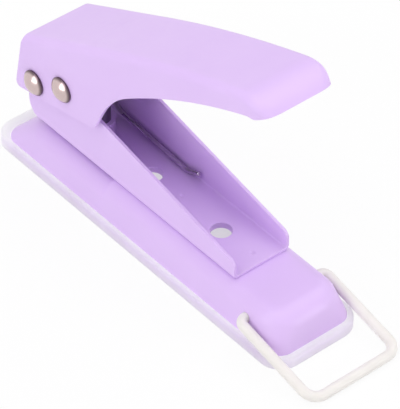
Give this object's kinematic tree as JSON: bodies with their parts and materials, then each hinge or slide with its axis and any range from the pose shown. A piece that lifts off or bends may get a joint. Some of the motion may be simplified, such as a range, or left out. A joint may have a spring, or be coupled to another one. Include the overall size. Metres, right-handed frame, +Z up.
{
  "type": "single hole punch",
  "caption": "Desk punch for one round hole: a pressed-steel lever turns on a channel frame and drives a punch through a base with a clip-on chip tray and a swing-up lock bail.",
  "frame": {"origin": "centre of the tray's footprint, on the table", "axes": "+X from the paper mouth to the lever's nose, +Y to the side on which the spring's lower leg lies, +Z up"},
  "size_m": [0.1403, 0.033, 0.083],
  "materials": {
    "tray_plastic": "translucent white moulded polyethylene",
    "lilac_paint": "semi-gloss lilac powder coat on pressed steel",
    "tool_steel": "ground tool steel",
    "nickel_plate": "nickel-plated rivet heads",
    "nylon": "natural nylon",
    "spring_wire": "bright drawn spring wire",
    "bail_plastic": "off-white moulded plastic"
  },
  "bodies": {
    "tray": {"chip_tray": "tray_plastic"},
    "base": {"base_shell": "lilac_paint", "die_plate": "tool_steel", "channel_frame": "lilac_paint", "punch_guide": "lilac_paint", "fulcrum_rivet": "nickel_plate", "fulcrum_washers": "nylon", "spring_bobbin": "nylon", "return_spring": "spring_wire"},
    "lever": {"lever": "lilac_paint", "drive_rivet": "nickel_plate", "drive_sleeve": "tool_steel"},
    "punch": {"punch_pin": "tool_steel"},
    "bail": {"lock_bail": "bail_plastic"}
  },
  "joints": [
    {"name": "tray_release", "type": "slide", "parent": "tray", "child": "base", "axis": [0, 0, 1], "range_m": [0, 0.022]},
    {"name": "lever_press", "type": "hinge", "parent": "base", "child": "lever", "pos_m": [-0.0443, 0, 0.0309], "axis": [0, 1, 0], "range_deg": [0, 30], "stiffness_Nm_per_rad": 0.25, "springref_deg": -34.38, "deforming": ["return_spring"]},
    {"name": "punch_slide", "type": "slide", "parent": "base", "child": "punch", "axis": [0, 0, -1], "range_m": [0, 0.0072]},
    {"name": "bail_swing", "type": "hinge", "parent": "base", "child": "bail", "pos_m": [0.0466, 0, 0.0086], "axis": [0, -1, 0], "range_deg": [0, 86]}
  ],
  "couplings": [
    {"joint": "punch_slide", "follows": "lever_press", "m_per_rad": 0.013445}
  ]
}
